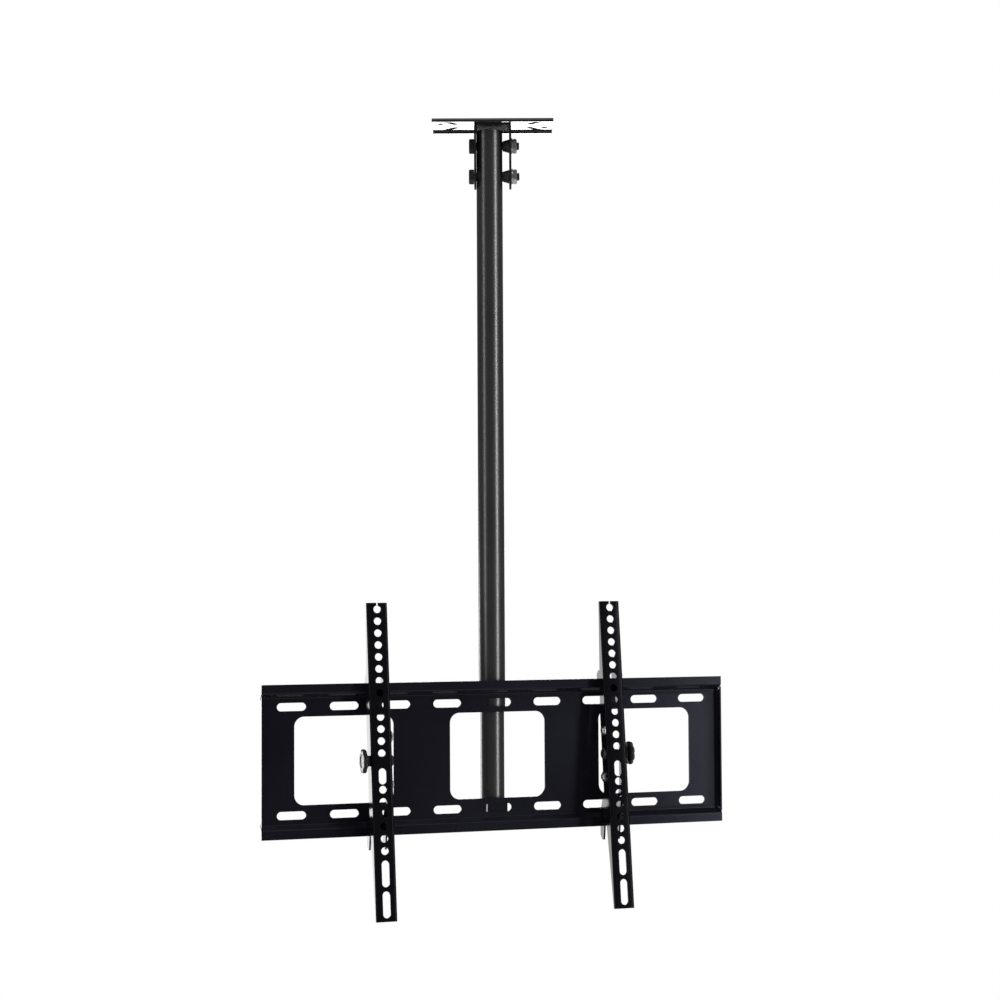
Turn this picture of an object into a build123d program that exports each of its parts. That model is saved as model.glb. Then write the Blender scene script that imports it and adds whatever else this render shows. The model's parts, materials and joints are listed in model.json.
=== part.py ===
"""Ceiling TV mount: telescoping pole, swivelling screen plate and two tilting arms.

Millimetres. The origin is on the ceiling plane, on the pole's axis. +Z is up, +X runs along
the screen plate to the right as the viewer sees it, and the screen hangs on the -Y side.
"""
from build123d import *
from math import cos, radians, sqrt, tan
import os

# Clearances
RUN_GAP = 0.1
SIDE_GAP = 0.3

# Telescoping pole
POLE_OD = 38.0
POLE_WALL = 1.5
INNER_WALL = 1.7
POLE_OVERLAP = 520.0

# Ceiling end
CEILING_TURN = -17.4
CEILING_LENGTH = 176.0
CEILING_DEPTH = 78.0
CEILING_SHEET = 3.0
CEILING_LIP = 6.0
CEILING_BEND_R = 2.5
CEILING_HOLE_D = 9.0
CEILING_HOLE_MARGIN = 12.0
CEILING_HOLE_OFFSET = 12.0
CEILING_SLOT_LENGTH = 28.0
CEILING_SLOT_WIDTH = 8.5
CEILING_SLOT_ANGLE = 46.0
CEILING_SLOT_MARGIN = 26.5
CEILING_SLOT_INSET = 20.0
CLEVIS_WIDTH = 40.0
CLEVIS_BEND_R = 3.5
CLEVIS_CORNER_R = 16.8
CLEVIS_END_MARGIN = 18.0
SPACER_LENGTH = 9.7
SPACER_LARGE_D = 20.0
PIVOT_BELOW_WEB = 27.3
POLE_TOP_GAP = 6.0
SLOPE_LOCK_DROP = 45.0
SLOPE_RANGE = 12.0

# Fasteners: thread diameter, width across flats, head height, nut height
M12 = (12.0, 19.0, 7.5, 6.0)
M8 = (8.0, 13.0, 5.3, 6.5)
M12_WASHER_D = 23.0
M12_WASHER_HEIGHT = 2.0
BOLT_END = 3.5
HEX_CHAMFER = 0.09
NUT_SINK = 1.5
HEIGHT_LOCK_REACH = 13.0
SWIVEL_LOCK_REACH = 16.0
HEIGHT_LOCK_LOW = 20.0
HEIGHT_LOCK_PITCH = 32.0

# Screen plate
PLATE_Z = -917.6
POLE_TO_PLATE = 5.0
PLATE_SHEET = 2.0
PLATE_WIDTH = 688.0
PLATE_HEIGHT = 213.0
LIP_HEIGHT = 12.0
SLANT_RISE = 6.5
RAIL_DEPTH = 10.0
BEND_R = 3.0
SLOT_COUNT = 9
SLOT_LENGTH = 41.0
SLOT_WIDTH = 11.4
SLOT_FROM_BEND = 13.0
SLOT_END_MARGIN = 44.0
WINDOW_WIDTH = 142.0
WINDOW_R = 14.0
WINDOW_BRIDGE = 8.05
WINDOW_END_MARGIN = 48.0
WALL_FLANGE = 25.0
WALL_RELIEF = 3.0

# Swivel at the pole's lower end
SLEEVE_WALL = 3.6
SLEEVE_BELOW_WINDOW = 5.75
SLEEVE_LENGTH = 31.0
SLEEVE_PAD_WIDTH = 30.0
SLEEVE_PAD_MARGIN = 2.0
STOP_HEIGHT = 5.0
STOP_SCREW_D = 3.0
STOP_SCREW_HEAD_D = 4.8
STOP_SCREW_HEAD = 1.8
CAP_FLANGE = 2.0
CAP_PLUG = 6.0
CAP_WALL = 1.6
TUBE_BELOW_RING = 1.5
POLE_ABOVE_WINDOW = 3.0

# Arms
ARM_WIDTH = 30.0
ARM_DEPTH = 22.0
ARM_END_DEPTH = 5.5
ARM_FULL_DEPTH_HALF = 60.0
ARM_SHEET = 2.0
ARM_BEND_R = 2.5
ARM_PIVOT_DEPTH = 12.0
ARM_REST_TILT = -7.0
TILT_RANGE = 10.0
HOLE_D = 10.5
HOLE_PITCH = 200.0 / 12
HOLE_FIRST = 9.2
ROUND_HOLES = list(range(13)) + list(range(15, 21))
ARM_SLOTS = ((13.9, 22.0), (21.85, 36.0), (24.35, 36.0))
ARM_END_MARGIN = 5.0
TOP_SLIT = 2.0
GUIDE_R = 33.0
GUIDE_D = 5.0
GUIDE_FLANGE_D = 15.0
GUIDE_FLANGE = 1.4
GUIDE_HEAD_D = 9.5
GUIDE_HEAD = 2.6
GUIDE_TIP = 1.5
ARM_X = {"left": -182.6, "right": 164.8}

# Hook brackets
HOOK_SHEET = 2.5
HOOK_ABOVE = 12.0
HOOK_BELOW = 18.0
HOOK_CHAMFER = 6.0
HOOK_TIP = 9.0
HOOK_CATCH = 8.0
LIP_SLOT_GAP = 0.35
PIVOT_STANDOFF = 25.0
CHEEK_CLEARANCE = 0.8
WAIST_DEPTH = 8.0
WAIST_HALF = 50.0
BRIDGE_HEIGHT = 20.0
BRIDGE_MARGIN = 1.0
SAFETY_D = 5.0
SAFETY_HEAD_D = 8.8
SAFETY_HEAD = 3.2
PIVOT_SPACER_D = 12.0
PIVOT_HEAD_D = 17.0
PIVOT_HEAD = 3.4

# Knobs
KNOB_D = 33.6
KNOB_HUB_D = 15.0
KNOB_HUB_LENGTH = 3.3
KNOB_THICKNESS = 7.5
KNOB_LOBES = 8
KNOB_SCALLOP_R = 3.6
KNOB_SCALLOP_OUT = 1.3
KNOB_DISH_D = 19.0
KNOB_DISH_DEPTH = 1.0
KNOB_INSERT_D = 11.0
KNOB_INSERT_REACH = 4.5


def save(name, shape):
    """Write one sub-part as a STEP file."""
    export_step(shape, f"parts/{name}.step")


def group(*shapes):
    """Several separate solids in one node."""
    return Compound(children=list(shapes))


def tube(outer_d, inner_d, z_top, z_bottom):
    """A round tube along Z between two heights."""
    length = z_top - z_bottom
    middle = Pos(0, 0, (z_top + z_bottom) / 2)
    return middle * (Cylinder(outer_d / 2, length) - Cylinder(inner_d / 2, length))


def prism_x(outline, x_low, x_high):
    """A sheet cut to an outline of (y, z) points, standing across X."""
    face = make_face(Polyline(*outline, close=True))
    return Pos(x_low, 0, 0) * extrude(Plane.YZ * face, amount=x_high - x_low)


def cut_along_y(sketch, y_low, y_high):
    """A cutter from an (x, z) sketch, running between two depths."""
    return Pos(0, y_high, 0) * extrude(Plane.XZ * sketch, amount=y_high - y_low)


def bore_along_y(diameter, y, z, length):
    """A cutter for a round hole along Y."""
    return Pos(0, y, z) * Rot(90, 0, 0) * Cylinder(diameter / 2, length)


def folded_sheet(points, sheet, radius):
    """The cross-section of a folded sheet, from its middle line."""
    return trace(FilletPolyline(*points, radius=radius), line_width=sheet)


def hexagon_block(across, height, chamfer_top=True, chamfer_bottom=False):
    """A hexagon along Z, standing on z = 0, with its corners turned off."""
    block = extrude(RegularPolygon(across / 2, 6, major_radius=False), amount=height)
    turned = Pos(0, 0, height / 2) * Cylinder(across / sqrt(3), height)
    corner = across * HEX_CHAMFER
    rims = turned.edges().filter_by(GeomType.CIRCLE).sort_by(Axis.Z)
    if chamfer_top:
        turned = chamfer(rims[-1], corner)
    if chamfer_bottom:
        rims = turned.edges().filter_by(GeomType.CIRCLE).sort_by(Axis.Z)
        turned = chamfer(rims[0], corner)
    return block & turned


def hex_bolt(size, length):
    """A bolt with its head above z = 0 and its shank running down."""
    diameter, across, head, _ = size
    shank = Pos(0, 0, -length / 2) * Cylinder(diameter / 2, length)
    tip = shank.edges().filter_by(GeomType.CIRCLE).sort_by(Axis.Z)[0]
    return hexagon_block(across, head) + chamfer(tip, diameter * HEX_CHAMFER)


def hex_nut(size):
    """A nut standing on z = 0."""
    diameter, across, _, height = size
    block = hexagon_block(across, height, True, True)
    return block - Pos(0, 0, height / 2) * Cylinder(diameter / 2, height)


def washer(inner_d, outer_d, thickness):
    """A flat washer standing on z = 0."""
    ring = Cylinder(outer_d / 2, thickness) - Cylinder(inner_d / 2, thickness)
    return Pos(0, 0, thickness / 2) * ring


def saddle_nut(size, surface_r):
    """A nut welded on a round wall, its axis along Y, cut to the wall's curve."""
    diameter, across, _, height = size
    block = hexagon_block(across, height + NUT_SINK)
    block = Pos(0, surface_r - NUT_SINK, 0) * Rot(-90, 0, 0) * block
    bore = bore_along_y(diameter, surface_r, 0, 4 * height)
    return block - bore - Cylinder(surface_r, 4 * across)


def lock_bolt(size, tip_y, length):
    """A clamping bolt along Y, its tip against the pole."""
    return Pos(0, tip_y + length, 0) * Rot(-90, 0, 0) * hex_bolt(size, length)


os.makedirs("parts", exist_ok=True)

# Ceiling plate and clevis, drawn square to X and then turned about the pole

pole_r = POLE_OD / 2
ear_left = -(pole_r + SIDE_GAP)
ear_right = pole_r + SIDE_GAP + SPACER_LENGTH
ceiling_middle = (ear_left + ear_right) / 2
clevis_web_z = -2 * CEILING_SHEET
pole_top_z = clevis_web_z - POLE_TOP_GAP
slope_pivot_z = clevis_web_z - PIVOT_BELOW_WEB
clevis_bottom_z = slope_pivot_z - SLOPE_LOCK_DROP - CLEVIS_END_MARGIN
turn = Rot(0, 0, CEILING_TURN)


def make_ceiling_plate():
    half = CEILING_DEPTH / 2 - CEILING_SHEET / 2
    flat = -CEILING_SHEET / 2
    section = folded_sheet(
        [(-half, -CEILING_LIP), (-half, flat), (half, flat), (half, -CEILING_LIP)],
        CEILING_SHEET, CEILING_BEND_R)
    plate = extrude(Plane.YZ * section, amount=CEILING_LENGTH)
    plate = Pos(ceiling_middle - CEILING_LENGTH / 2, 0, 0) * plate
    slot_x = CEILING_LENGTH / 2 - CEILING_SLOT_MARGIN
    slot_y = CEILING_DEPTH / 2 - CEILING_SLOT_INSET
    hole_x = CEILING_LENGTH / 2 - CEILING_HOLE_MARGIN
    for side_x in (-1, 1):
        for side_y in (-1, 1):
            slot = SlotOverall(CEILING_SLOT_LENGTH, CEILING_SLOT_WIDTH)
            slot = Rot(0, 0, side_x * side_y * CEILING_SLOT_ANGLE) * slot
            cutter = extrude(slot, amount=CEILING_SHEET, both=True)
            plate -= Pos(ceiling_middle + side_x * slot_x, side_y * slot_y, flat) * cutter
        hole = Cylinder(CEILING_HOLE_D / 2, 4 * CEILING_SHEET)
        plate -= Pos(ceiling_middle + side_x * hole_x, side_x * CEILING_HOLE_OFFSET, 0) * hole
    return plate


def make_ceiling_clevis():
    left = ear_left - CEILING_SHEET / 2
    right = ear_right + CEILING_SHEET / 2
    top = clevis_web_z + CEILING_SHEET / 2
    section = folded_sheet(
        [(left, clevis_bottom_z), (left, top), (right, top), (right, clevis_bottom_z)],
        CEILING_SHEET, CLEVIS_BEND_R)
    clevis = Pos(0, CLEVIS_WIDTH / 2, 0) * extrude(Plane.XZ * section, amount=CLEVIS_WIDTH)
    lower_corners = clevis.edges().filter_by(Axis.X).group_by(Axis.Z)[0]
    clevis = fillet(lower_corners, min(CLEVIS_CORNER_R, 0.45 * CLEVIS_WIDTH))
    pivot = Plane.YZ * Pos(0, slope_pivot_z) * Circle(M12[0] / 2 + RUN_GAP)
    arc = CenterArc((0, slope_pivot_z), SLOPE_LOCK_DROP, -90 - SLOPE_RANGE, 2 * SLOPE_RANGE)
    arc_slot = Plane.YZ * SlotArc(arc, M12[0] + 2 * SIDE_GAP)
    reach = 2 * POLE_OD
    return clevis - extrude(pivot, reach, both=True) - extrude(arc_slot, reach, both=True)


save("ceiling_plate", turn * make_ceiling_plate())
save("ceiling_clevis", turn * make_ceiling_clevis())


def clevis_hardware(height, side_gap, spacer_start):
    """Bolt, washer, nut and cone spacer across the clevis at one height."""
    head_face = ear_left - CEILING_SHEET - side_gap
    seat = ear_right + CEILING_SHEET + side_gap
    length = seat - head_face + M12_WASHER_HEIGHT + M12[3] + BOLT_END
    along_x = Rot(0, 90, 0)
    bolt = Pos(head_face, 0, height) * Rot(0, -90, 0) * hex_bolt(M12, length)
    ring = washer(M12[0], M12_WASHER_D, M12_WASHER_HEIGHT)
    ring = Pos(seat, 0, height) * along_x * ring
    nut = Pos(seat + M12_WASHER_HEIGHT, 0, height) * along_x * hex_nut(M12)
    small_r = M12[0] / 2 + 4 * SIDE_GAP
    cone = Cone(small_r, SPACER_LARGE_D / 2, SPACER_LENGTH)
    cone -= Cylinder(M12[0] / 2, 2 * SPACER_LENGTH)
    cone = Pos(spacer_start + SPACER_LENGTH / 2, 0, height) * along_x * cone
    return bolt, ring, nut, cone


slope_lock_z = slope_pivot_z - SLOPE_LOCK_DROP
pivot_set = clevis_hardware(slope_pivot_z, 0, pole_r + SIDE_GAP)
lock_set = clevis_hardware(slope_lock_z, SIDE_GAP, pole_r)
for kind, pivot_shape, lock_shape in zip(("bolt", "washer", "nut", "spacer"), pivot_set, lock_set):
    save(f"ceiling_pivot_{kind}", turn * pivot_shape)
    save(f"slope_lock_{kind}", turn * lock_shape)

# Heights shared by the poles and the screen plate

plate_half_height = PLATE_HEIGHT / 2
lip_start = plate_half_height - LIP_HEIGHT
web_half_height = lip_start - SLANT_RISE
slot_row = web_half_height - SLOT_FROM_BEND
window_half_height = slot_row - SLOT_WIDTH / 2 - WINDOW_BRIDGE
pole_bottom_z = PLATE_Z + window_half_height + POLE_ABOVE_WINDOW
inner_d = POLE_OD - 2 * POLE_WALL - 2 * SIDE_GAP
inner_r = inner_d / 2
sleeve_top_z = PLATE_Z - window_half_height - SLEEVE_BELOW_WINDOW
sleeve_bottom_z = sleeve_top_z - SLEEVE_LENGTH
stop_top_z = sleeve_bottom_z - SIDE_GAP
stop_bottom_z = stop_top_z - STOP_HEIGHT
inner_bottom_z = stop_bottom_z - TUBE_BELOW_RING
height_lock_low_z = PLATE_Z + plate_half_height + HEIGHT_LOCK_LOW
height_lock_z = (height_lock_low_z, height_lock_low_z + HEIGHT_LOCK_PITCH)

# Poles


def make_outer_pole():
    pole = tube(POLE_OD, POLE_OD - 2 * POLE_WALL, pole_top_z, pole_bottom_z)
    for height in (slope_pivot_z, slope_lock_z):
        cross = Rot(0, 90, 0) * Cylinder(M12[0] / 2 + RUN_GAP, 2 * POLE_OD)
        pole -= turn * Pos(0, 0, height) * cross
    for height in height_lock_z:
        pole -= bore_along_y(M8[0], pole_r, height, POLE_OD)
    return pole


def lock_pair(fastener):
    """The same fastener at both height lock places."""
    return group(*[Pos(0, 0, height) * fastener for height in height_lock_z])


def make_stop_ring():
    ring = tube(inner_d + 2 * SLEEVE_WALL, inner_d, stop_top_z, stop_bottom_z)
    middle_z = (stop_top_z + stop_bottom_z) / 2
    return ring - bore_along_y(STOP_SCREW_D, inner_r + SLEEVE_WALL / 2, middle_z, 2 * SLEEVE_WALL)


def make_stop_ring_screw():
    shank = Pos(0, 0, SLEEVE_WALL / 2) * Cylinder(STOP_SCREW_D / 2, SLEEVE_WALL)
    head = Pos(0, 0, SLEEVE_WALL + STOP_SCREW_HEAD / 2)
    screw = shank + head * Cylinder(STOP_SCREW_HEAD_D / 2, STOP_SCREW_HEAD)
    return Pos(0, inner_r, (stop_top_z + stop_bottom_z) / 2) * Rot(-90, 0, 0) * screw


def make_pole_end_cap():
    plug_r = inner_r - INNER_WALL
    plug_top_z = inner_bottom_z + CAP_PLUG
    flange_z = inner_bottom_z - CAP_FLANGE
    flange = Pos(0, 0, inner_bottom_z - CAP_FLANGE / 2) * Cylinder(inner_r, CAP_FLANGE)
    return flange + tube(2 * plug_r, 2 * (plug_r - CAP_WALL), plug_top_z, flange_z)


save("outer_pole", make_outer_pole())
save("height_lock_nuts", lock_pair(saddle_nut(M8, pole_r)))
save("height_lock_bolts", lock_pair(lock_bolt(M8, inner_r + RUN_GAP, HEIGHT_LOCK_REACH)))
save("inner_pole", tube(inner_d, inner_d - 2 * INNER_WALL, pole_bottom_z + POLE_OVERLAP,
                        inner_bottom_z))
save("stop_ring", make_stop_ring())
save("stop_ring_screw", make_stop_ring_screw())
save("pole_end_cap", make_pole_end_cap())

# Screen plate: one sheet folded into a web, two hooked rails and two side walls

web_back_y = -(pole_r + POLE_TO_PLATE)
web_y = web_back_y - PLATE_SHEET / 2
lip_y = web_y - RAIL_DEPTH
lip_front_y = lip_y - PLATE_SHEET / 2
lip_rear_y = lip_y + PLATE_SHEET / 2
half_width = PLATE_WIDTH / 2


def make_side_wall():
    """The wall at the right end of the plate, folded forward out of the web."""
    wall_x = half_width - PLATE_SHEET / 2
    section = folded_sheet(
        [(wall_x - WALL_FLANGE, web_y), (wall_x, web_y), (wall_x, lip_front_y)],
        PLATE_SHEET, BEND_R)
    wall = extrude(section, amount=lip_start, both=True)
    rear_z = web_half_height - WALL_RELIEF
    front_z = lip_start - WALL_RELIEF
    bend_y = web_y - PLATE_SHEET / 2 - BEND_R
    upper = [(web_back_y + BEND_R, rear_z), (bend_y, rear_z), (lip_front_y, front_z)]
    lower = [(y, -z) for y, z in reversed(upper)]
    return wall & prism_x(upper + lower, 0, PLATE_WIDTH)


def make_screen_plate():
    section = folded_sheet(
        [(lip_y, plate_half_height), (lip_y, lip_start), (web_y, web_half_height),
         (web_y, -web_half_height), (lip_y, -lip_start), (lip_y, -plate_half_height)],
        PLATE_SHEET, BEND_R)
    plate = Pos(-half_width, 0, 0) * extrude(Plane.YZ * section, amount=PLATE_WIDTH)
    wall = make_side_wall()
    strip = Box(2 * (BEND_R + PLATE_SHEET), 4 * PLATE_SHEET, 2 * (web_half_height - WALL_RELIEF))
    for side in (-1, 1):
        plate -= Pos(side * half_width, web_y, 0) * strip
        plate += wall if side > 0 else mirror(wall, about=Plane.YZ)
    first_slot = half_width - SLOT_END_MARGIN
    slot_pitch = 2 * first_slot / (SLOT_COUNT - 1)
    window_pitch = half_width - WINDOW_END_MARGIN - WINDOW_WIDTH / 2
    slot = SlotOverall(SLOT_LENGTH, SLOT_WIDTH)
    window = RectangleRounded(WINDOW_WIDTH, 2 * window_half_height, WINDOW_R)
    openings = [Pos(i * slot_pitch - first_slot, row) * slot
                for i in range(SLOT_COUNT) for row in (-slot_row, slot_row)]
    openings += [Pos(i * window_pitch, 0) * window for i in (-1, 0, 1)]
    for opening in openings:
        plate -= cut_along_y(opening, web_y - 2 * PLATE_SHEET, web_y + 2 * PLATE_SHEET)
    return Pos(0, 0, PLATE_Z) * plate


sleeve_bore_r = inner_r + RUN_GAP
sleeve_r = sleeve_bore_r + SLEEVE_WALL
swivel_lock_z = (sleeve_top_z + sleeve_bottom_z) / 2


def make_swivel_sleeve():
    pad_top_z = sleeve_top_z - SLEEVE_PAD_MARGIN
    pad_bottom_z = PLATE_Z - web_half_height + BEND_R
    pad_z = (pad_top_z + pad_bottom_z) / 2
    pad = Box(SLEEVE_PAD_WIDTH, -web_back_y, pad_top_z - pad_bottom_z)
    sleeve = Pos(0, web_back_y / 2, pad_z) * pad
    sleeve += tube(2 * sleeve_r, 2 * sleeve_bore_r, sleeve_top_z, sleeve_bottom_z)
    sleeve -= Pos(0, 0, swivel_lock_z) * Cylinder(sleeve_bore_r, 2 * SLEEVE_LENGTH)
    return sleeve - bore_along_y(M8[0], sleeve_r, swivel_lock_z, sleeve_r)


save("screen_plate", make_screen_plate())
save("swivel_sleeve", make_swivel_sleeve())
save("swivel_lock_nut", Pos(0, 0, swivel_lock_z) * saddle_nut(M8, sleeve_r))
save("swivel_lock_bolt",
     Pos(0, 0, swivel_lock_z) * lock_bolt(M8, sleeve_bore_r, SWIVEL_LOCK_REACH))

# Arms, drawn with the pivot at the origin and the inner side towards +X

arm_face = -ARM_PIVOT_DEPTH
arm_rear = arm_face + ARM_DEPTH
last_index, last_slot_length = ARM_SLOTS[-1]
arm_length = HOLE_FIRST + last_index * HOLE_PITCH + last_slot_length / 2 + ARM_END_MARGIN


def hole_height(index):
    """Height of the arm's hole number index, counted from the top one."""
    return arm_length / 2 - HOLE_FIRST - index * HOLE_PITCH


def make_arm():
    """A channel whose flanges are deepest round the pivot and run out towards both ends."""
    web = arm_face + ARM_SHEET / 2
    flange_x = ARM_WIDTH / 2 - ARM_SHEET / 2
    section = folded_sheet([(-flange_x, arm_rear), (-flange_x, web), (flange_x, web),
                            (flange_x, arm_rear)], ARM_SHEET, ARM_BEND_R)
    half = arm_length / 2
    channel = extrude(section, amount=half, both=True)
    before_face = arm_face - ARM_SHEET
    end_rear = arm_face + ARM_END_DEPTH
    side_view = [(before_face, -half), (end_rear, -half), (arm_rear, -ARM_FULL_DEPTH_HALF),
                 (arm_rear, ARM_FULL_DEPTH_HALF), (end_rear, half), (before_face, half)]
    arm = channel & prism_x(side_view, -ARM_WIDTH, ARM_WIDTH)
    cutters = [Pos(0, hole_height(i)) * Circle(HOLE_D / 2) for i in ROUND_HOLES]
    cutters.append(Pos(0, half) * Rectangle(TOP_SLIT, 2 * HOLE_FIRST))
    for index, length in ARM_SLOTS:
        slot = Rot(0, 0, 90) * SlotOverall(length, HOLE_D)
        cutters.append(Pos(0, hole_height(index)) * slot)
    for cutter in cutters:
        arm -= cut_along_y(cutter, arm_face - 1, arm_face + 2 * ARM_SHEET)
    for start in (90, -90):
        arc = CenterArc((0, 0), GUIDE_R, start - TILT_RANGE, 2 * TILT_RANGE)
        arc_slot = Plane.YZ * SlotArc(arc, GUIDE_D + 2 * SIDE_GAP)
        arm -= Pos(ARM_WIDTH / 2, 0, 0) * extrude(arc_slot, amount=2 * ARM_SHEET, both=True)
    return arm - Rot(0, 90, 0) * Cylinder(M8[0] / 2 + RUN_GAP, 2 * ARM_WIDTH)


# Hook brackets, drawn in place along Y and with z = 0 at the plate's middle

pivot_y = lip_front_y - PIVOT_STANDOFF
slot_front_y = lip_front_y - LIP_SLOT_GAP
slot_rear_y = lip_rear_y + LIP_SLOT_GAP
hook_tip_y = lip_rear_y + HOOK_TIP
hook_top = plate_half_height + HOOK_ABOVE
hook_bottom = -plate_half_height - HOOK_BELOW
bridge_z = plate_half_height - BRIDGE_MARGIN - BRIDGE_HEIGHT / 2
bridge_front_y = slot_front_y - HOOK_SHEET
cheek_x = ARM_WIDTH / 2 - ARM_SHEET - SIDE_GAP
flange_side_x = ARM_WIDTH / 2 + SIDE_GAP


def cheek_outline():
    """A bracket side wall: it clears the arm's web at both ends of the tilt, hooks over the
    upper lip and stands before the lower one."""
    lean = tan(radians(TILT_RANGE))
    web_reach = (ARM_PIVOT_DEPTH - ARM_SHEET) / cos(radians(TILT_RANGE))
    nose_y = pivot_y - web_reach + CHEEK_CLEARANCE
    top_y = nose_y + hook_top * lean
    bottom_y = nose_y - hook_bottom * lean
    waist_y = pivot_y + WAIST_DEPTH
    rail_z = bridge_z - BRIDGE_HEIGHT / 2
    catch_z = plate_half_height - HOOK_CATCH
    seat_z = plate_half_height + SIDE_GAP
    front = [(bottom_y, hook_bottom), (nose_y, 0), (top_y, hook_top)]
    hook = [(hook_tip_y - HOOK_CHAMFER, hook_top), (hook_tip_y, hook_top - HOOK_CHAMFER),
            (hook_tip_y, catch_z), (slot_rear_y, catch_z), (slot_rear_y, seat_z),
            (slot_front_y, seat_z)]
    rear = [(slot_front_y, rail_z), (waist_y, WAIST_HALF), (waist_y, -WAIST_HALF),
            (slot_front_y, -rail_z), (slot_front_y, hook_bottom + HOOK_CHAMFER),
            (slot_front_y - HOOK_CHAMFER, hook_bottom)]
    return front + hook + rear


def make_hook_bracket():
    """Two side walls inside the arm's channel, joined by two cross walls."""
    wall = prism_x(cheek_outline(), cheek_x - HOOK_SHEET, cheek_x)
    bracket = wall + mirror(wall, about=Plane.YZ)
    cross_wall = Box(2 * cheek_x, HOOK_SHEET, BRIDGE_HEIGHT)
    for side in (-1, 1):
        bracket += Pos(0, slot_front_y - HOOK_SHEET / 2, side * bridge_z) * cross_wall
        guide_hole = Rot(0, 90, 0) * Cylinder(GUIDE_D / 2, 4 * HOOK_SHEET)
        bracket -= Pos(cheek_x, pivot_y, side * GUIDE_R) * guide_hole
    bracket -= Pos(0, pivot_y, 0) * Rot(0, 90, 0) * Cylinder(M8[0] / 2, 4 * cheek_x)
    return bracket - bore_along_y(SAFETY_D, slot_front_y, -bridge_z, 4 * HOOK_SHEET)


def make_guide_screws():
    """Two flanged screws in the inner side wall, through the arc slots of the arm's flange."""
    start = cheek_x - HOOK_SHEET - GUIDE_TIP
    shank_length = flange_side_x - start
    shank = Pos(0, 0, start + shank_length / 2) * Cylinder(GUIDE_D / 2, shank_length)
    flange = Pos(0, 0, GUIDE_FLANGE / 2) * Cylinder(GUIDE_FLANGE_D / 2, GUIDE_FLANGE)
    head = Pos(0, 0, GUIDE_FLANGE + GUIDE_HEAD / 2) * Cylinder(GUIDE_HEAD_D / 2, GUIDE_HEAD)
    head = chamfer(head.edges().sort_by(Axis.Z)[-1], 0.3 * GUIDE_HEAD)
    socket = extrude(RegularPolygon(GUIDE_D / 3, 6), amount=-GUIDE_D / 3)
    head -= Pos(0, 0, GUIDE_FLANGE + GUIDE_HEAD) * socket
    screw = Rot(0, 90, 0) * (shank + Pos(0, 0, flange_side_x) * (flange + head))
    return group(*[Pos(0, 0, height) * screw for height in (GUIDE_R, -GUIDE_R)])


def make_safety_screw():
    """Screw through the lower cross wall, backed off from the lower lip's front."""
    tip_y = lip_front_y - SIDE_GAP
    length = tip_y - bridge_front_y
    shank = Pos(0, 0, -length / 2) * Cylinder(SAFETY_D / 2, length)
    head = Pos(0, 0, SAFETY_HEAD / 2) * Cylinder(SAFETY_HEAD_D / 2, SAFETY_HEAD)
    long_side = 0.6 * SAFETY_HEAD_D
    short_side = SAFETY_HEAD_D / 8
    cross = Box(long_side, short_side, SAFETY_HEAD) + Box(short_side, long_side, SAFETY_HEAD)
    screw = shank + head - Pos(0, 0, 1.2 * SAFETY_HEAD) * cross
    return Pos(0, bridge_front_y, -bridge_z) * Rot(90, 0, 0) * screw


# Pivot bolt and knob, along X with the inner side towards +X

knob_start = -flange_side_x
insert_depth = KNOB_HUB_LENGTH + KNOB_INSERT_REACH


def make_pivot_bolt():
    """A round-headed bolt from the inner flange through the bracket into the knob."""
    length = 2 * flange_side_x + insert_depth - 1
    shank = Pos(0, 0, -length / 2) * Cylinder(M8[0] / 2, length)
    head = Pos(0, 0, PIVOT_HEAD / 2) * Cylinder(PIVOT_HEAD_D / 2, PIVOT_HEAD)
    head = chamfer(head.edges().sort_by(Axis.Z)[-1], 0.7 * PIVOT_HEAD)
    return Pos(flange_side_x, 0, 0) * Rot(0, 90, 0) * (shank + head)


def make_pivot_spacer():
    """A tube between the bracket's side walls."""
    length = 2 * (cheek_x - HOOK_SHEET)
    body = Cylinder(PIVOT_SPACER_D / 2, length) - Cylinder(M8[0] / 2, length)
    return Rot(0, 90, 0) * body


def make_knob():
    """A lobed disc with a hub, drawn up Z from the hub's end and then laid along -X."""
    disc_middle = KNOB_HUB_LENGTH + KNOB_THICKNESS / 2
    disc = Pos(0, 0, disc_middle) * Cylinder(KNOB_D / 2, KNOB_THICKNESS)
    scallop = Cylinder(KNOB_SCALLOP_R, 2 * KNOB_THICKNESS)
    scallop = Pos(KNOB_D / 2 + KNOB_SCALLOP_OUT, 0, disc_middle) * scallop
    for i in range(KNOB_LOBES):
        disc -= Rot(0, 0, 360 / KNOB_LOBES * i) * scallop
    disc = chamfer(disc.edges().group_by(Axis.Z)[-1], 0.12 * KNOB_THICKNESS)
    disc = chamfer(disc.edges().group_by(Axis.Z)[0], 0.08 * KNOB_THICKNESS)
    dish = Cylinder(KNOB_DISH_D / 2, 2 * KNOB_DISH_DEPTH)
    hub = Pos(0, 0, KNOB_HUB_LENGTH / 2) * Cylinder(KNOB_HUB_D / 2, KNOB_HUB_LENGTH)
    knob = disc - Pos(0, 0, KNOB_HUB_LENGTH + KNOB_THICKNESS) * dish + hub
    knob -= Pos(0, 0, insert_depth / 2) * Cylinder(KNOB_INSERT_D / 2, insert_depth)
    return Pos(knob_start, 0, 0) * Rot(0, -90, 0) * knob


def make_knob_insert():
    body = Cylinder(KNOB_INSERT_D / 2, insert_depth)
    body -= Cylinder(M8[0] / 2 + RUN_GAP, insert_depth)
    return Pos(knob_start - insert_depth / 2, 0, 0) * Rot(0, 90, 0) * body


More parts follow.
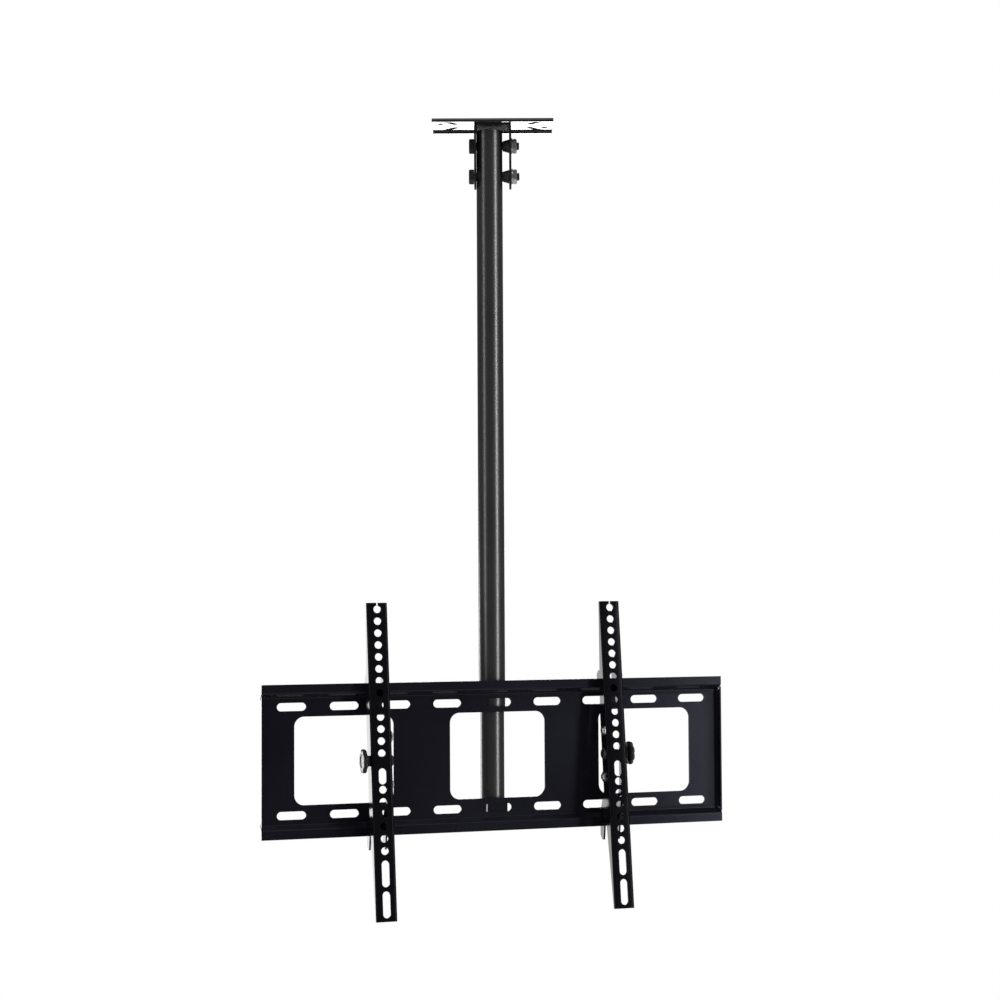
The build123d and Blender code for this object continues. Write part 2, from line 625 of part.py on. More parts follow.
pivot_place = Pos(0, pivot_y, 0)
on_arm = pivot_place * Rot(ARM_REST_TILT, 0, 0)
arm_pieces = {
    "arm": on_arm * make_arm(),
    "guide_screws": pivot_place * make_guide_screws(),
    "hook_bracket": make_hook_bracket(),
    "safety_screw": make_safety_screw(),
    "pivot_bolt": pivot_place * make_pivot_bolt(),
    "pivot_spacer": pivot_place * make_pivot_spacer(),
    "knob": pivot_place * make_knob(),
    "knob_insert": pivot_place * make_knob_insert(),
}
for side_name, side_x in ARM_X.items():
    for piece_name, piece in arm_pieces.items():
        own = piece if side_name == "left" else mirror(piece, about=Plane.YZ)
        save(f"{side_name}_{piece_name}", Pos(side_x, 0, PLATE_Z) * own)
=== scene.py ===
# %% [markdown]
# # A ceiling TV mount
# A telescoping steel pole hangs from a folded ceiling plate and carries a slotted cross plate.
# Two hooked arms stand in front of the plate, and a black knob clamps the tilt of each one.
# The frame already holds every piece at its real size and place, so this lesson adds what a
# camera sees up close: softened sheet edges, rolled threads, weld beads, moulded knobs,
# powder paint and zinc plate, and last a plain white studio.

# %% Load the frame
import json
from math import pi, radians

import bmesh
import bpy
import numpy as np
from mathutils import Matrix, Vector


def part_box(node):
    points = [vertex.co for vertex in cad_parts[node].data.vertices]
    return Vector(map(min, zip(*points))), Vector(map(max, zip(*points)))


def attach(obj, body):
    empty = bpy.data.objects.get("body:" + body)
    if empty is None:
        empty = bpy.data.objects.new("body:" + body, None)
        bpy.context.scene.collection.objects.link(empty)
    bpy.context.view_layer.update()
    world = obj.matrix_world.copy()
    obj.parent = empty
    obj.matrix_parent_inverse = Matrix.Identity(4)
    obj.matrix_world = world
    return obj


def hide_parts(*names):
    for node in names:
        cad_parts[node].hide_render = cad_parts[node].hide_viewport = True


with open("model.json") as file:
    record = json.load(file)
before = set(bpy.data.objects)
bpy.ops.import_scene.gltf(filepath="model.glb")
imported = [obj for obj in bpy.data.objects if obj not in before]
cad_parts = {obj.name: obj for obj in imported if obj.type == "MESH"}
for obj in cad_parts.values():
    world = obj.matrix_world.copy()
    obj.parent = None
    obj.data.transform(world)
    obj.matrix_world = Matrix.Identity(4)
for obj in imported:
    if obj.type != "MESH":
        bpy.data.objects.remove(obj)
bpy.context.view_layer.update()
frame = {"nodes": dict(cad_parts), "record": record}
nodes = frame["nodes"]
print("pieces in the frame:", len(nodes))

# %% [markdown]
# ## Shader sums in plain Python
# A procedural finish is a sum of small patterns. Wiring each sum by hand hides the idea, so a
# tiny class wraps a socket and overloads the operators: `0.3 + grain * 0.1` adds its own Math
# nodes. Every other node comes from one method that takes its type, settings and inputs.

# %% Value: a socket that can be added and multiplied
class Value:
    """One output socket. Sums, differences and products add Math nodes."""

    def __init__(self, nodes_of, socket):
        self.nodes_of = nodes_of
        self.socket = socket

    def math(self, operation, first, second):
        return self.nodes_of.node("ShaderNodeMath", {"operation": operation},
                                  {0: first, 1: second})

    def __add__(self, other):
        return self.math("ADD", self, other)

    def __sub__(self, other):
        return self.math("SUBTRACT", self, other)

    def __rsub__(self, other):
        return self.math("SUBTRACT", other, self)

    def __mul__(self, other):
        return self.math("MULTIPLY", self, other)

    __radd__ = __add__
    __rmul__ = __mul__

    def above(self, edge, softness):
        """0 below the edge, 1 above it, with a smooth step of that softness between."""
        return self.nodes_of.node(
            "ShaderNodeMapRange", {"interpolation_type": "SMOOTHSTEP"},
            {"Value": self, "From Min": edge - softness, "From Max": edge + softness})


# %% Nodes: one method for every kind of node
class Nodes:
    """A node tree under construction, for a material or for the world."""

    def __init__(self, tree):
        self.tree = tree
        self.tree.nodes.clear()

    def node(self, kind, settings=None, inputs=None, output=0):
        made = self.tree.nodes.new(kind)
        for name, setting in (settings or {}).items():
            setattr(made, name, setting)
        for name, value in (inputs or {}).items():
            if isinstance(value, Value):
                self.tree.links.new(value.socket, made.inputs[name])
            else:
                made.inputs[name].default_value = value
        return Value(self, made.outputs[output])

    def mixed(self, factor, first, second):
        """A colour between two colours."""
        return self.node("ShaderNodeMix", {"data_type": "RGBA"},
                         {0: factor, 6: first, 7: second}, 2)


# %% Finish: a material that reads the piece's own coordinates
class Finish(Nodes):
    """A material. Its patterns read Object coordinates, so they are true in metres."""

    def __init__(self, name):
        self.material = bpy.data.materials.new(name)
        self.material.use_nodes = True
        super().__init__(self.material.node_tree)
        self.place = self.node("ShaderNodeTexCoord", output="Object")

    def noise(self, size, detail=2.0, stretch=(1, 1, 1)):
        """Soft noise between 0 and 1 whose blotches are about `size` metres across."""
        scale = [part / size for part in stretch]
        where = self.node("ShaderNodeVectorMath", {"operation": "MULTIPLY"},
                          {0: self.place, 1: scale})
        return self.node("ShaderNodeTexNoise", None,
                         {"Vector": where, "Scale": 1.0, "Detail": detail})

    def bumps(self, *layers):
        """Stacked bumps, each given as height pattern, strength and depth in metres."""
        normal = None
        for height, strength, depth in layers:
            inputs = {"Height": height, "Strength": strength, "Distance": depth}
            if normal is not None:
                inputs["Normal"] = normal
            normal = self.node("ShaderNodeBump", None, inputs)
        return normal

    def done(self, **sockets):
        """Close the material with a Principled shader; _ in a name stands for a space."""
        inputs = {name.replace("_", " "): value for name, value in sockets.items()}
        inputs["IOR"] = inputs.pop("IOR", 1.45)
        shader = self.node("ShaderNodeBsdfPrincipled", None, inputs)
        self.node_output(shader)
        return self.material

    def node_output(self, shader):
        out = self.tree.nodes.new("ShaderNodeOutputMaterial")
        self.tree.links.new(shader.socket, out.inputs["Surface"])


# %% [markdown]
# ## Powder paint
# The sheet steel is powder coated: a satin black with a faint blue cast. Baked powder never
# lies quite flat. It has a soft orange peel of a few millimetres, a fine grain of a few tenths,
# and a gloss that drifts slowly over the sheet. Three noises of those sizes give all three.
# How strongly a paint gleams is set by its index of refraction: low on the arms, which look
# nearly black, a little higher on the cross plate, and highest on the pole with its streaks.

# %% Black powder paint
MILLIMETRE = 0.001
GLOSS_DRIFT = 0.10
GLOSS_GRAIN = 0.14


def powder_paint(name, dark, light, roughness, ior, tint=(1, 1, 1)):
    """Satin black paint whose gleam has a tint. Shade and gloss drift slowly over it."""
    paint = Finish(name)
    drift = paint.noise(120 * MILLIMETRE, 3.0)
    peel = paint.noise(2.6 * MILLIMETRE)
    grain = paint.noise(0.35 * MILLIMETRE, 1.0)
    colour = paint.mixed(drift, (*dark, 1), (*light, 1))
    gloss = roughness + (drift - 0.5) * GLOSS_DRIFT + (grain - 0.5) * GLOSS_GRAIN
    normal = paint.bumps((peel, 0.25, 0.05 * MILLIMETRE), (grain, 0.35, 0.02 * MILLIMETRE))
    return paint.done(Base_Color=colour, Roughness=gloss, Normal=normal, IOR=ior,
                      Specular_Tint=(*tint, 1))


# Name, darkest and lightest colour, roughness, index of refraction and tint of the gleam
plate_paint = powder_paint("plate_paint", (0.0050, 0.0050, 0.0080), (0.0085, 0.0085, 0.0125),
                           0.22, 1.30, (0.74, 0.77, 1.0))
arm_paint = powder_paint("arm_paint", (0.0030, 0.0030, 0.0042), (0.0055, 0.0055, 0.0072),
                         0.17, 1.20, (0.86, 0.87, 1.0))
pole_paint = powder_paint("pole_paint", (0.0150, 0.0150, 0.0150), (0.0190, 0.0190, 0.0190),
                          0.30, 1.85)
ceiling_paint = powder_paint("ceiling_paint", (0.0090, 0.0090, 0.0100),
                             (0.0130, 0.0130, 0.0140), 0.16, 1.70)
clevis_paint = powder_paint("clevis_paint", (0.0050, 0.0050, 0.0060), (0.0080, 0.0080, 0.0090),
                            0.66, 1.28)
print("paints:", len(bpy.data.materials))

# %% [markdown]
# ## Zinc plate, blackened steel, nylon and brass
# The loose nuts, the washers, the screws, the lock bolts behind the pole and the spacers on
# the arms' pivots are zinc plated. Zinc is a metal, so its colour is the colour of its
# reflections, and the plating bath leaves cloudy patches. The ceiling end's bolts and spacers
# and the arms' pivot bolts are blackened instead, and the welded nuts are painted. The knobs
# and the pole's end cap are nylon with a spark eroded grain, and each knob has a brass insert.

# %% Zinc, blackened steel, nylon and brass
def zinc_plate():
    """Bright plating with cloudy gloss and fine rolling marks."""
    zinc = Finish("zinc_plate")
    cloud = zinc.noise(6 * MILLIMETRE, 3.0)
    marks = zinc.noise(0.3 * MILLIMETRE, 2.0, (0.15, 1, 1))
    colour = zinc.mixed(cloud, (0.50, 0.50, 0.49, 1), (0.70, 0.70, 0.68, 1))
    normal = zinc.bumps((marks, 0.2, 0.01 * MILLIMETRE))
    return zinc.done(Base_Color=colour, Metallic=1.0, Roughness=0.24 + cloud * 0.18,
                     Normal=normal)


def blackened_steel():
    """Bolts that were blackened in an oil bath: dark, with worn, brighter rubbings."""
    steel = Finish("blackened_steel")
    cloud = steel.noise(5 * MILLIMETRE, 3.0)
    grain = steel.noise(0.4 * MILLIMETRE, 2.0)
    colour = steel.mixed(cloud, (0.010, 0.010, 0.011, 1), (0.022, 0.022, 0.023, 1))
    normal = steel.bumps((grain, 0.3, 0.01 * MILLIMETRE))
    return steel.done(Base_Color=colour, Roughness=0.34 + cloud * 0.16, Normal=normal)


def moulded_nylon():
    """Black nylon with the grain of its mould."""
    nylon = Finish("moulded_nylon")
    grain = nylon.noise(0.4 * MILLIMETRE, 2.0)
    drift = nylon.noise(15 * MILLIMETRE)
    colour = nylon.mixed(drift, (0.006, 0.006, 0.007, 1), (0.010, 0.010, 0.011, 1))
    normal = nylon.bumps((grain, 0.4, 0.03 * MILLIMETRE))
    return nylon.done(Base_Color=colour, Roughness=0.24 + grain * 0.16, Normal=normal,
                      IOR=1.38)


def turned_brass():
    """Brass with fine turning marks across the insert's length."""
    brass = Finish("turned_brass")
    marks = brass.noise(0.15 * MILLIMETRE, 1.0, (1, 0.1, 0.1))
    normal = brass.bumps((marks, 0.3, 0.01 * MILLIMETRE))
    return brass.done(Base_Color=(0.72, 0.52, 0.24, 1), Metallic=1.0,
                      Roughness=0.28 + marks * 0.1, Normal=normal)


zinc = zinc_plate()
dark_steel = blackened_steel()
nylon = moulded_nylon()
brass = turned_brass()
print("finishes:", len(bpy.data.materials))

# %% Give every piece of the frame its finish
SLOT_FINISHES = {"black_paint": plate_paint, "zinc": zinc, "black_plastic": nylon,
                 "brass": brass}
OWN_FINISHES = {"outer_pole": pole_paint, "inner_pole": pole_paint, "stop_ring": pole_paint,
                "height_lock_nuts": pole_paint, "ceiling_plate": ceiling_paint,
                "ceiling_clevis": clevis_paint, "ceiling_pivot_bolt": dark_steel,
                "slope_lock_bolt": dark_steel, "ceiling_pivot_spacer": dark_steel,
                "slope_lock_spacer": dark_steel,
                "left_pivot_bolt": dark_steel, "right_pivot_bolt": dark_steel,
                "left_arm": arm_paint, "right_arm": arm_paint,
                "left_hook_bracket": arm_paint, "right_hook_bracket": arm_paint}


slot_of = {row["node"]: row["material_slot"] for row in frame["record"]["subparts"]}
body_of = {name: body for body, names in frame["record"]["behaviour"]["bodies"].items()
           for name in names}


def finish_of(name):
    """The finish of one piece: its own, or the one its record slot names."""
    return OWN_FINISHES.get(name, SLOT_FINISHES[slot_of[name]])


for name, piece in nodes.items():
    piece.data.materials.clear()
    piece.data.materials.append(finish_of(name))
print("finished pieces:", len(nodes))

# %% [markdown]
# ## Softened sheet edges
# A laser leaves a sheet's edges sharp, but the paint that is baked over them pulls back into a
# small round. Light catches that round as a thin bright line, and without it steel looks like
# paper. Rounding the frame's own mesh is the surest way: each sheet is copied, its loose
# triangles are joined, the flat ones are dissolved, and a Bevel modifier turns the sharp edges.

# %% A new piece that stands for a node of the frame
SMOOTH_BELOW = radians(32)


def shaded(mesh):
    """Smooth shading that breaks at edges sharper than SMOOTH_BELOW."""
    mesh.polygons.foreach_set("use_smooth", np.ones(len(mesh.polygons), dtype=bool))
    mesh.set_sharp_from_angle(angle=SMOOTH_BELOW)


def stand_in(name, mesh, node, replace=True):
    """Put a mesh in the scene: it rides with the node's body and has the node's finish."""
    mesh.materials.clear()
    mesh.materials.append(finish_of(node))
    piece = bpy.data.objects.new(name, mesh)
    bpy.context.scene.collection.objects.link(piece)
    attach(piece, body_of[node])
    if replace:
        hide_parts(node)
    return piece


# %% Sheets with rounded edges
EDGE_ROUND = 0.35 * MILLIMETRE
JOIN_WITHIN = 0.001 * MILLIMETRE
FLAT_WITHIN = radians(0.5)
SHARP_FROM = radians(38)
SHEETS = ["ceiling_plate", "ceiling_clevis", "screen_plate", "swivel_sleeve", "outer_pole",
          "inner_pole", "stop_ring", "pole_end_cap"]
SHEETS += [f"{side}_{part}" for side in ("left", "right") for part in ("arm", "hook_bracket")]


def softened(node):
    """The node's mesh with its doubles merged, flat faces dissolved and edges rounded."""
    mesh = nodes[node].data.copy()
    work = bmesh.new()
    work.from_mesh(mesh)
    bmesh.ops.remove_doubles(work, verts=work.verts, dist=JOIN_WITHIN)
    bmesh.ops.dissolve_limit(work, angle_limit=FLAT_WITHIN, verts=work.verts, edges=work.edges)
    work.to_mesh(mesh)
    work.free()
    shaded(mesh)
    piece = stand_in(f"{node}_painted", mesh, node)
    bevel = piece.modifiers.new("edge_round", "BEVEL")
    bevel.width = EDGE_ROUND
    bevel.segments = 2
    bevel.limit_method = "ANGLE"
    bevel.angle_limit = SHARP_FROM
    bevel.harden_normals = True
    return len(mesh.polygons)


print("faces before rounding:", {node: softened(node) for node in SHEETS})

# %% [markdown]
# ## Surfaces from two numbers
# A bolt, a knob and a weld bead are all one idea: a ring of points carried along a line, whose
# radius changes with the angle and with the distance along. Numpy works the whole grid out at
# once, and one function turns a grid into a closed mesh.

# %% A closed skin over a grid of rings
def skin(name, rings, joined=False):
    """Mesh over rings of points. Quads join neighbouring rings; the end rings close to a pole,
    or, when `joined`, the last ring meets the first."""
    count, around = rings.shape[:2]
    index = np.arange(count * around).reshape(count, around)
    rows = index if joined else index[:-1]
    below = np.roll(index, -1, axis=0) if joined else index[1:]
    quads = np.stack([rows, np.roll(rows, -1, axis=1), np.roll(below, -1, axis=1), below], -1)
    points = rings.reshape(-1, 3)
    faces = quads.reshape(-1, 4).tolist()
    if not joined:
        first = np.column_stack([np.full(around, count * around), np.roll(index[0], -1), index[0]])
        last = np.column_stack([np.full(around, count * around + 1), index[-1],
                                np.roll(index[-1], -1)])
        points = np.vstack([points, rings[0].mean(axis=0), rings[-1].mean(axis=0)])
        faces += first.tolist() + last.tolist()
    mesh = bpy.data.meshes.new(name)
    mesh.from_pydata(points.tolist(), [], faces)
    work = bmesh.new()
    work.from_mesh(mesh)
    bmesh.ops.recalc_face_normals(work, faces=work.faces)
    work.to_mesh(mesh)
    work.free()
    shaded(mesh)
    return mesh


def across_axis(direction):
    """Two unit vectors square to a direction and to each other."""
    along = np.array(direction) / np.linalg.norm(direction)
    helper = np.array((0.0, 0.0, 1.0))
    side = np.cross(helper, along)
    side /= np.linalg.norm(side)
    return along, side, np.cross(along, side)


def turned(profile_height, radius, place, direction):
    """Rings round an axis: height along it, and a radius for each ring and angle."""
    along, side, up = across_axis(direction)
    angle = np.linspace(0, 2 * pi, radius.shape[1], endpoint=False)
    spoke = np.cos(angle)[:, None] * side + np.sin(angle)[:, None] * up
    return np.array(place) + profile_height[:, None, None] * along + radius[..., None] * spoke


# %% [markdown]
# ## Bolts with real threads
# A thread is a ridge wound round the shank: at each angle the ridge sits a little higher, one
# pitch per turn. So the radius is a wave of height over pitch plus angle over a full turn. The
# head is a hexagon cut by a cone, which is the smaller of two radii.

# %% Hexagon bolts
AROUND = 48
STEPS_PER_PITCH = 8
# Thread diameter, width across flats, head height and pitch; the depth is a share of the pitch
M12 = tuple(MILLIMETRE * size for size in (12.0, 19.0, 7.5, 1.75))
M8 = tuple(MILLIMETRE * size for size in (8.0, 13.0, 5.3, 1.25))
THREAD_DEPTH = 0.54
# Tip radius as a share of the diameter, chamfer radius as a share of the flats, and its slope
TIP_SHARE = 0.38
CHAMFER_SHARE = 0.485
CHAMFER_SLOPE = 1.75
# Rings up the head and over its top, as shares of its height; then the top's radii, as shares
# of a reach that is itself a share of the flats
HEAD_RINGS = np.array([0, 0.02, 0.5, 0.86, 0.92, 0.97, 1.0])
TOP_HEIGHTS = np.array([0.97, 0.95])
TOP_RADII = np.array([0.9, 0.55])
TOP_REACH = 0.45


def hex_bolt(size, length, threaded):
    """Heights and radii of a bolt whose head starts at 0 and whose tip is at -length.
    Shank radius = thread radius - depth * ridge wave, and head radius = the smaller of the
    hexagon, half width / cos(angle from the nearest flat), and the chamfer cone."""
    diameter, across, head, pitch = size
    angle = np.linspace(0, 2 * pi, AROUND, endpoint=False)
    steps = int(length / pitch * STEPS_PER_PITCH)
    shank_z = np.linspace(-length, 0, steps)
    phase = shank_z[:, None] / pitch + angle / (2 * pi)
    wave = np.clip(1.5 * np.abs(2 * (phase % 1) - 1) - 0.25, 0, 1)
    cut = np.clip((threaded - length - shank_z) / pitch, 0, 1)[:, None]
    shank_r = diameter / 2 - THREAD_DEPTH * pitch * wave * cut
    point = TIP_SHARE * diameter + (shank_z + length)[:, None]
    shank_r = np.minimum(shank_r, point)
    flat = (angle + pi / 6) % (pi / 3) - pi / 6
    hexagon = across / 2 / np.cos(flat)
    head_z = head * HEAD_RINGS
    cone = CHAMFER_SHARE * across + CHAMFER_SLOPE * (head - head_z)[:, None]
    head_r = np.minimum(hexagon, cone)
    inner = TOP_RADII[:, None] * np.full(AROUND, TOP_REACH * across)
    height = np.concatenate([shank_z, head_z, head * TOP_HEIGHTS])
    return height, np.vstack([shank_r, head_r, inner])


def centre_line(points, direction):
    """Middle of the points square to a direction, and their lowest and highest place on it."""
    along, side, up = across_axis(direction)
    middle = [(points @ axis).min() / 2 + (points @ axis).max() / 2 for axis in (side, up)]
    reach = points @ along
    return middle[0] * side + middle[1] * up, reach.min(), reach.max()


def points_of(node):
    """All vertices of a node as rows of x, y, z."""
    mesh = nodes[node].data
    flat = np.empty(3 * len(mesh.vertices))
    mesh.vertices.foreach_get("co", flat)
    return flat.reshape(-1, 3)


def dress_bolt(node, points, size, direction, threaded, name, replace=True):
    """A threaded bolt over the node's plain one; its head points in `direction`."""
    middle, low, high = centre_line(points, direction)
    along = across_axis(direction)[0]
    seat = high - size[2]
    height, radius = hex_bolt(size, seat - low, threaded)
    rings = turned(height, radius, middle + seat * along, direction)
    stand_in(name, skin(name, rings), node, replace)


# The ceiling plate and its bolts are turned on the pole; then the threads' lengths
CEILING_TURN = radians(-17.4)
CEILING_THREAD = 30 * MILLIMETRE
SWIVEL_THREAD = 12 * MILLIMETRE
HEIGHT_THREAD = 10 * MILLIMETRE
ceiling_x = np.array((np.cos(CEILING_TURN), np.sin(CEILING_TURN), 0))
for node in ("ceiling_pivot_bolt", "slope_lock_bolt"):
    dress_bolt(node, points_of(node), M12, -ceiling_x, CEILING_THREAD, f"{node}_threaded")
swivel_points = points_of("swivel_lock_bolt")
dress_bolt("swivel_lock_bolt", swivel_points, M8, (0, 1, 0), SWIVEL_THREAD,
           "swivel_lock_bolt_threaded")
lock_points = points_of("height_lock_bolts")
is_upper = lock_points[:, 2] > lock_points[:, 2].mean()
dress_bolt("height_lock_bolts", lock_points[~is_upper], M8, (0, 1, 0), HEIGHT_THREAD,
           "lower_lock_bolt")
dress_bolt("height_lock_bolts", lock_points[is_upper], M8, (0, 1, 0), HEIGHT_THREAD,
           "upper_lock_bolt", replace=False)
print("threaded bolts:", 5)

# %% [markdown]
# ## Moulded knobs
# Each knob is one moulding: a hub that bears on the arm, and a disc with eight lobes that give
# the fingers a hold. The disc's radius dips eight times round the rim, all the edges are round,
# its back slopes out to the rim, and the outer face has a shallow dish. The dip is a cosine
# raised to a power, so that the hollows are narrower than the lobes between them.

# %% Knobs
KNOB_LOBES = 8
LOBE_DEPTH = 2.3 * MILLIMETRE
RIM_FROM = 11 * MILLIMETRE
RIM_BAND = 4 * MILLIMETRE
HUB_HEIGHT = 3.2 * MILLIMETRE
KNOB_AROUND = 192
# Height and radius down the bore, round the hub, out to the rim and over the dished face
KNOB_PROFILE = MILLIMETRE * np.array([
    (7.8, 5.5), (0.0, 5.5), (0.0, 7.1), (0.4, 7.5), (2.8, 7.5), (3.3, 7.9), (3.5, 8.8),
    (4.9, 14.2), (5.2, 15.6), (5.7, 16.4), (6.4, 16.8), (9.2, 16.8), (9.9, 16.45),
    (10.5, 15.6), (10.8, 14.4), (10.8, 10.4), (10.6, 9.6), (9.9, 9.0), (9.8, 8.0), (9.8, 3.0)])


def knob_rings(place, direction):
    """Radius = profile radius - depth * rim share * ((1 + cos(lobes * angle)) / 2) ** 3."""
    height, radius = KNOB_PROFILE.T
    angle = np.linspace(0, 2 * pi, KNOB_AROUND, endpoint=False)
    hollow = ((1 + np.cos(KNOB_LOBES * angle)) / 2) ** 3
    rim_share = np.clip((radius - RIM_FROM) / RIM_BAND, 0, 1)
    rim_share *= height > HUB_HEIGHT
    lobed = radius[:, None] - LOBE_DEPTH * rim_share[:, None] * hollow
    return turned(height, lobed, place, direction)


for side, out in (("left", (-1, 0, 0)), ("right", (1, 0, 0))):
    node = f"{side}_knob"
    middle, low, high = centre_line(points_of(node), out)
    rings = knob_rings(middle + low * np.array(out), out)
    stand_in(f"{node}_moulded", skin(f"{node}_moulded", rings), node)
print("knob profile points:", len(KNOB_PROFILE))

# %% [markdown]
# ## Weld beads
# The nuts behind the tubes and the clevis under the ceiling plate are welded on. A bead is a
# thin tube of steel along the seam. The torch lays it in overlapping drops, so its radius
# rises and falls along the way, once for each drop.

# %% Beads along a seam
DROP = 1.4 * MILLIMETRE
BEAD_SIDES = 10
# Share of the plain radius between two drops, how much a drop adds, and what counts as upright
BEAD_WAIST = 0.9
BEAD_SWELL = 0.2
UPRIGHT = 0.9


def bead(name, path, radius, node, joined):
    """Tube along a path. Radius = plain radius * (waist + swell * |sin(pi * distance / drop)|)."""
    ahead = np.roll(path, -1, axis=0) if joined else np.vstack([path[1:], path[-1:]])
    behind = np.roll(path, 1, axis=0) if joined else np.vstack([path[:1], path[:-1]])
    along = ahead - behind
    along /= np.linalg.norm(along, axis=1)[:, None]
    distance = np.cumsum(np.linalg.norm(path - behind, axis=1))
    helper = np.where(np.abs(along[:, 2:]) > UPRIGHT, (1.0, 0.0, 0.0), (0.0, 0.0, 1.0))
    side = np.cross(helper, along)
    side /= np.linalg.norm(side, axis=1)[:, None]
    up = np.cross(along, side)
    angle = np.linspace(0, 2 * pi, BEAD_SIDES, endpoint=False)
    swell = radius * (BEAD_WAIST + BEAD_SWELL * np.abs(np.sin(pi * distance / DROP)))
    spoke = (np.cos(angle)[None, :, None] * side[:, None] +
             np.sin(angle)[None, :, None] * up[:, None])
    rings = path[:, None] + swell[:, None, None] * spoke
    stand_in(name, skin(name, rings, joined), node, replace=False)


def seam_round_nut(height, wall_r, nut_r):
    """Closed seam where a round boss along Y meets a tube: y = sqrt(wall radius^2 - x^2)."""
    angle = np.linspace(0, 2 * pi, NUT_SEAM_STEPS, endpoint=False)
    x = nut_r * np.cos(angle)
    return np.column_stack([x, np.sqrt(wall_r ** 2 - x ** 2), height + nut_r * np.sin(angle)])


BEAD_R = 1.1 * MILLIMETRE
NUT_SEAM_R = 6.9 * MILLIMETRE
NUT_SEAM_STEPS = 160
pole_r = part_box("outer_pole")[1][0]
for label, is_in in (("lower", ~is_upper), ("upper", is_upper)):
    middle_z = lock_points[is_in, 2].min() / 2 + lock_points[is_in, 2].max() / 2
    bead(f"{label}_lock_nut_weld", seam_round_nut(middle_z, pole_r, NUT_SEAM_R), BEAD_R,
         "outer_pole", True)
sleeve_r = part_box("swivel_sleeve")[1][0]
swivel_z = swivel_points[:, 2].min() / 2 + swivel_points[:, 2].max() / 2
bead("swivel_nut_weld", seam_round_nut(swivel_z, sleeve_r, NUT_SEAM_R), BEAD_R,
     "swivel_sleeve", True)

clevis_low, clevis_high = centre_line(points_of("ceiling_clevis"), ceiling_x)[1:]
CLEVIS_HALF_DEPTH = 20 * MILLIMETRE
WELD_INSET = 4 * MILLIMETRE
CLEVIS_SEAM_STEPS = 140
WEB_TOP = -3 * MILLIMETRE
ceiling_y = np.array((-ceiling_x[1], ceiling_x[0], 0))
for label, sign in (("front", -1), ("back", 1)):
    along = np.linspace(clevis_low + WELD_INSET, clevis_high - WELD_INSET, CLEVIS_SEAM_STEPS)
    seam = along[:, None] * ceiling_x + sign * CLEVIS_HALF_DEPTH * ceiling_y + (0, 0, WEB_TOP)
    bead(f"clevis_{label}_weld", seam, BEAD_R, "ceiling_clevis", False)
print("weld beads:", 5)

# %% [markdown]
# ## The studio
# The mount hangs in a white studio. The background reaches the camera as plain white and the
# floor as nearly white, while the lamps light the mount at an ordinary level. A tall soft box
# at the right gives the pole its long bright streak, and a narrow one at the left gives the
# dim streak. A wide one above is weak. Two behind the mount brighten what is seen at a grazing
# angle: the ceiling plate and the arms' left flanges.

# %% White surroundings
# What gloss sees in front and behind, how softly one becomes the other, and what matt paint sees
WALL_FRONT = 0.08
WALL_BACK = 0.12
WALL_BLEND = 0.35
FILL = 0.40


def white_surroundings():
    """White to the camera; gloss sees a dim hall that is a little lighter at the back."""
    world = bpy.data.worlds.new("studio")
    world.use_nodes = True
    bpy.context.scene.world = world
    air = Nodes(world.node_tree)
    camera_ray = air.node("ShaderNodeLightPath", output="Is Camera Ray")
    gloss_ray = air.node("ShaderNodeLightPath", output="Is Glossy Ray")
    direction = air.node("ShaderNodeTexCoord", output="Generated")
    depth = air.node("ShaderNodeSeparateXYZ", None, {0: direction}, "Y")
    back = depth.above(0.0, WALL_BLEND)
    seen_in_gloss = WALL_FRONT + back * (WALL_BACK - WALL_FRONT)
    fill = FILL * (1 - camera_ray) * (1 - gloss_ray)
    strength = camera_ray + gloss_ray * seen_in_gloss + fill
    shader = air.node("ShaderNodeBackground", None,
                      {"Color": (1, 1, 1, 1), "Strength": strength})
    out = air.tree.nodes.new("ShaderNodeOutputWorld")
    air.tree.links.new(shader.socket, out.inputs["Surface"])


white_surroundings()

# %% Floor
FLOOR_Z = -2.0
FLOOR_REACH = 2.6
FLOOR_WHITENESS = 0.9


def pale_floor():
    """A pale matt floor that reaches the camera as nearly white and keeps its shadow."""
    cover = Finish("floor_paint")
    camera_ray = cover.node("ShaderNodeLightPath", output="Is Camera Ray")
    patches = cover.noise(0.4, 3.0)
    colour = cover.mixed(patches, (0.80, 0.80, 0.80, 1), (0.84, 0.84, 0.84, 1))
    matt = cover.node("ShaderNodeBsdfDiffuse", None, {"Color": colour})
    white = cover.node("ShaderNodeEmission", None, {"Color": (1, 1, 1, 1), "Strength": 1.0})
    cover.node_output(cover.node("ShaderNodeMixShader", None,
                                 {0: camera_ray * FLOOR_WHITENESS, 1: matt, 2: white}))
    corners = FLOOR_REACH * np.array([(-1, -1, 0), (1, -1, 0), (1, 1, 0), (-1, 1, 0)])
    mesh = bpy.data.meshes.new("studio_floor")
    mesh.from_pydata((corners + (0, 0, FLOOR_Z)).tolist(), [], [(0, 1, 2, 3)])
    mesh.materials.append(cover.material)
    floor = bpy.data.objects.new("studio_floor", mesh)
    bpy.context.scene.collection.objects.link(floor)


pale_floor()

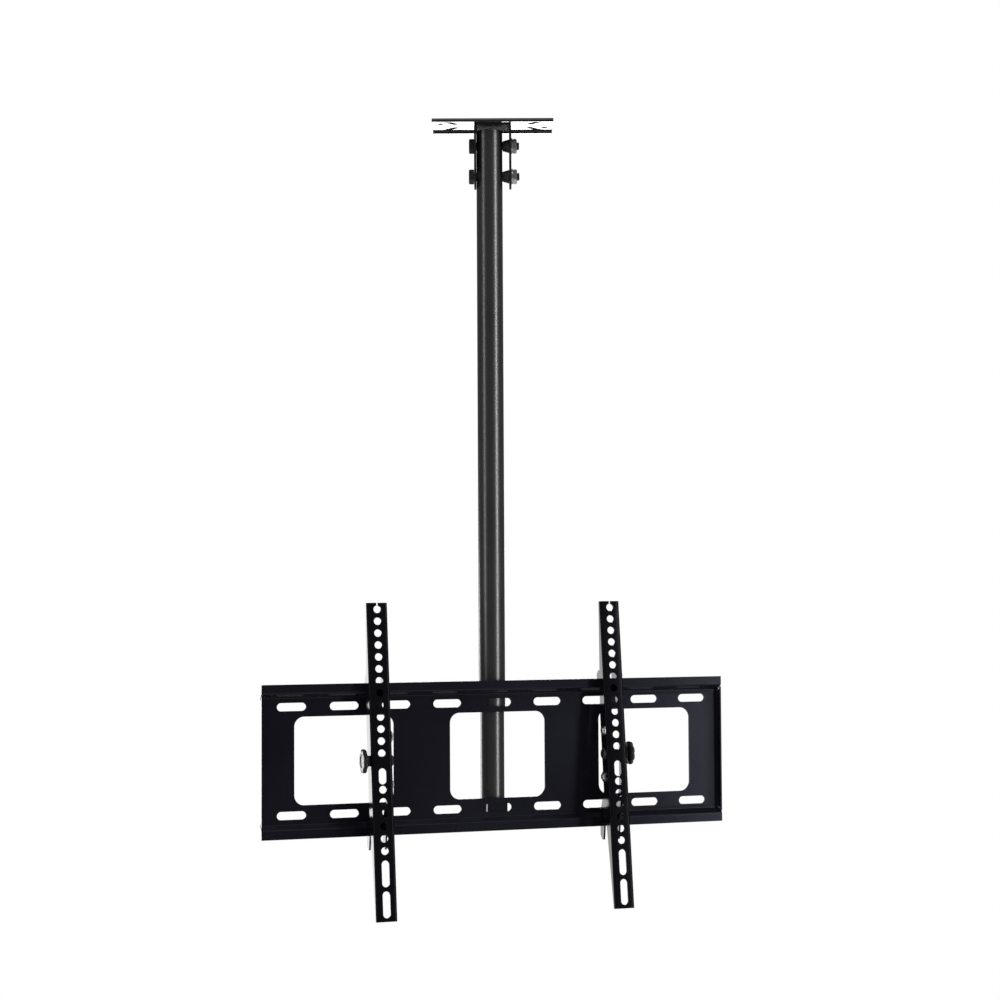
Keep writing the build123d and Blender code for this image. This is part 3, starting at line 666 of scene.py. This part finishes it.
# %% Lamps
# Name, place, target, width, height and radiance
LAMPS = [
    ("right_box", (1.80, -2.40, -0.45), (0, 0, -0.45), 0.50, 3.2, 10.0),
    ("left_box", (-1.95, -0.55, -0.45), (0, 0, -0.45), 0.26, 2.2, 4.5),
    ("top_box", (0, -0.9, 1.6), (0, 0, -0.9), 2.4, 1.6, 1.0),
    ("back_box", (0.69, 2.2, -0.52), (0, 0, 0), 0.6, 0.30, 8.0),
    ("back_left_box", (-0.85, 2.0, -1.1), (0, 0, -0.95), 0.8, 0.9, 4.5)]


def soft_box(name, place, target, width, height, radiance):
    """A rectangular lamp at `place`, facing `target`, of an even radiance. It lights the
    mount and shows in its gloss, but no view shows the lamp itself."""
    lamp = bpy.data.lights.new(name, "AREA")
    lamp.shape = "RECTANGLE"
    lamp.size = width
    lamp.size_y = height
    lamp.energy = radiance * pi * width * height
    box = bpy.data.objects.new(name, lamp)
    box.location = place
    aim = Vector(target) - Vector(place)
    box.rotation_euler = aim.to_track_quat("-Z", "Y").to_euler()
    box.visible_camera = False
    bpy.context.scene.collection.objects.link(box)


for row in LAMPS:
    soft_box(*row)
print("lamps:", len(bpy.data.lights))

# %% [markdown]
# ## The camera
# A long lens from the left, a little below the middle of the pole and looking slightly up,
# gives the photograph's view: the cross plate's right end recedes and the ceiling plate shows
# its underside.

# %% Camera
CAMERA_PLACE = (-0.8677, -2.7686, -0.6790)
CAMERA_YAW = radians(-17.657)
CAMERA_PITCH = radians(2.519)
CAMERA_ROLL = radians(-0.298)
LENS_MM = 72.0
SENSOR_MM = 36.0

lens = bpy.data.cameras.new("camera")
lens.lens = LENS_MM
lens.sensor_width = SENSOR_MM
lens.sensor_fit = "HORIZONTAL"
camera = bpy.data.objects.new("camera", lens)
turn = Matrix.Rotation(CAMERA_YAW, 4, "Z") @ Matrix.Rotation(pi / 2 + CAMERA_PITCH, 4, "X")
camera.matrix_world = (Matrix.Translation(CAMERA_PLACE) @ turn
                       @ Matrix.Rotation(CAMERA_ROLL, 4, "Z"))
bpy.context.scene.collection.objects.link(camera)
bpy.context.scene.camera = camera
bpy.context.scene.view_settings.view_transform = "Standard"
